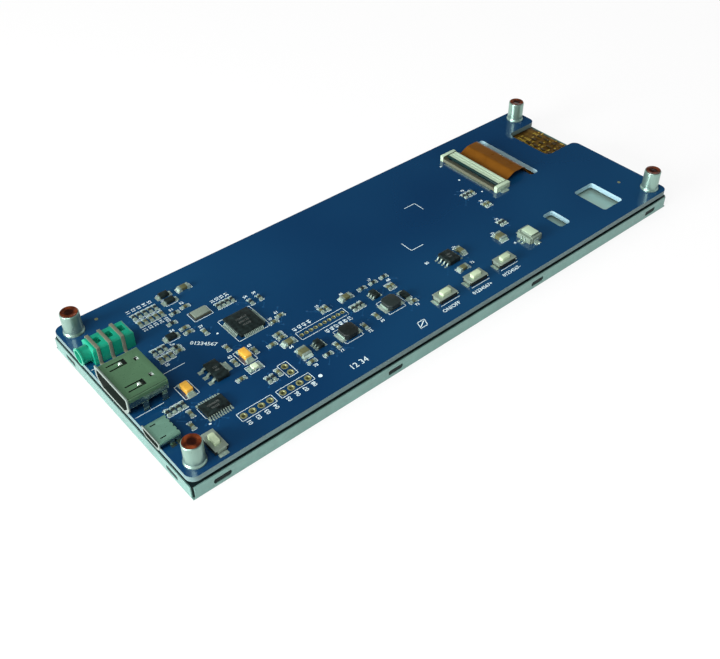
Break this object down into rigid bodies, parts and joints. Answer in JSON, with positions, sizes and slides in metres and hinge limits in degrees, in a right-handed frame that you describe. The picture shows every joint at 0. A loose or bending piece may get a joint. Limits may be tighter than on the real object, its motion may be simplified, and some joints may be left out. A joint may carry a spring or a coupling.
{
  "type": "bar-shaped lcd display module with driver board",
  "caption": "Bar-shaped IPS LCD module lying face down, its driver board taped to the back with video, power and audio sockets, flex connector, buttons and corner spacers.",
  "frame": {"origin": "centre of the front face of the bezel, on which the module lies", "axes": "+Z from the display face to the board's component side, +X along the length from the connector end to the far end, +Y from the button edge to the other long edge"},
  "size_m": [0.1759, 0.0654, 0.0132],
  "materials": {
    "bezel_steel": "bare zinc-plated sheet, satin",
    "back_steel": "bare zinc-plated sheet, satin",
    "frame_plastic": "moulded, matt",
    "panel_glass": "polished, dark while it is off",
    "polariser": "smooth film",
    "optic_film": "smooth film",
    "clear_acrylic": "polished",
    "flex_amber": "polyimide film over copper",
    "lamp_body": "moulded, smooth",
    "bare_silicon": "polished back of a bare chip",
    "foam": "foam with adhesive faces",
    "board_mask": "blue solder mask, glossy",
    "gold_plate": "gold over nickel",
    "spacer_tin": "tin plated, satin",
    "amber_film": "polyimide film disc",
    "shell_tin": "tin-plated sheet",
    "connector_black": "moulded, matt",
    "contact_gold": "gold plated",
    "jack_mint": "moulded, satin",
    "jack_spring": "tin-plated spring metal",
    "cream_plastic": "moulded, satin",
    "lead_tin": "tin plated",
    "switch_black": "moulded, matt",
    "cover_steel": "stamped, satin",
    "button_white": "moulded, satin",
    "chip_epoxy": "moulded epoxy, fine matt",
    "tantalum_yellow": "moulded, satin",
    "ferrite": "pressed ferrite",
    "resistor_black": "glazed",
    "capacitor_tan": "fired ceramic",
    "ceramic_base": "fired ceramic"
  },
  "bodies": {
    "root": {"front_bezel": "bezel_steel", "rear_plate": "back_steel", "mould_frame": "frame_plastic", "tft_glass": "panel_glass", "filter_glass": "panel_glass", "front_polariser": "polariser", "rear_polariser": "polariser", "prism_film": "optic_film", "diffuser_film": "optic_film", "reflector_film": "optic_film", "light_guide": "clear_acrylic", "panel_flex": "flex_amber", "backlight_strip": "flex_amber", "backlight_lamps": "lamp_body", "power_lamp": "lamp_body", "display_driver_chip": "bare_silicon", "foam_tapes": "foam", "driver_board": "board_mask", "header_pads": "gold_plate", "spacers": "spacer_tin", "spacer_films": "amber_film", "hdmi_shell": "shell_tin", "usb_shell": "shell_tin", "hdmi_insulator": "connector_black", "usb_insulator": "connector_black", "hdmi_contacts": "contact_gold", "usb_contacts": "contact_gold", "fpc_terminals": "contact_gold", "audio_jack_body": "jack_mint", "audio_jack_contacts": "jack_spring", "wafer_housing": "cream_plastic", "fpc_housing": "cream_plastic", "wafer_pins": "lead_tin", "switch_terminals": "lead_tin", "main_chip_leads": "lead_tin", "logic_chips_leads": "lead_tin", "regulators_leads": "lead_tin", "tantalum_straps": "lead_tin", "inductor_straps": "lead_tin", "diode_straps": "lead_tin", "chip_end_caps": "lead_tin", "switch_bases": "switch_black", "switch_covers": "cover_steel", "switch_domes": "cover_steel", "crystal_lid": "cover_steel", "main_chip": "chip_epoxy", "logic_chips": "chip_epoxy", "regulators": "chip_epoxy", "diode_bodies": "chip_epoxy", "tantalum_bodies": "tantalum_yellow", "inductor_bodies": "ferrite", "chip_resistors": "resistor_black", "flex_parts": "resistor_black", "chip_capacitors": "capacitor_tan", "crystal_base": "ceramic_base"},
    "fpc_latch": {"fpc_latch": "cream_plastic"},
    "switch_plunger_1": {"switch_plunger_1": "button_white"},
    "switch_plunger_2": {"switch_plunger_2": "button_white"},
    "switch_plunger_3": {"switch_plunger_3": "button_white"},
    "switch_plunger_4": {"switch_plunger_4": "button_white"}
  },
  "joints": [
    {"name": "press_1", "type": "slide", "parent": "root", "child": "switch_plunger_1", "axis": [0, 0, -1], "range_m": [0, 0.00025], "stiffness_N_per_m": 200},
    {"name": "press_2", "type": "slide", "parent": "root", "child": "switch_plunger_2", "axis": [0, 0, -1], "range_m": [0, 0.00025], "stiffness_N_per_m": 200},
    {"name": "press_3", "type": "slide", "parent": "root", "child": "switch_plunger_3", "axis": [0, 0, -1], "range_m": [0, 0.00025], "stiffness_N_per_m": 200},
    {"name": "press_4", "type": "slide", "parent": "root", "child": "switch_plunger_4", "axis": [0, 0, -1], "range_m": [0, 0.00025], "stiffness_N_per_m": 200},
    {"name": "latch_flip", "type": "hinge", "parent": "root", "child": "fpc_latch", "pos_m": [0.04715, 0.0131, 0.0081], "axis": [0, -1, 0], "range_deg": [0, 90]}
  ]
}
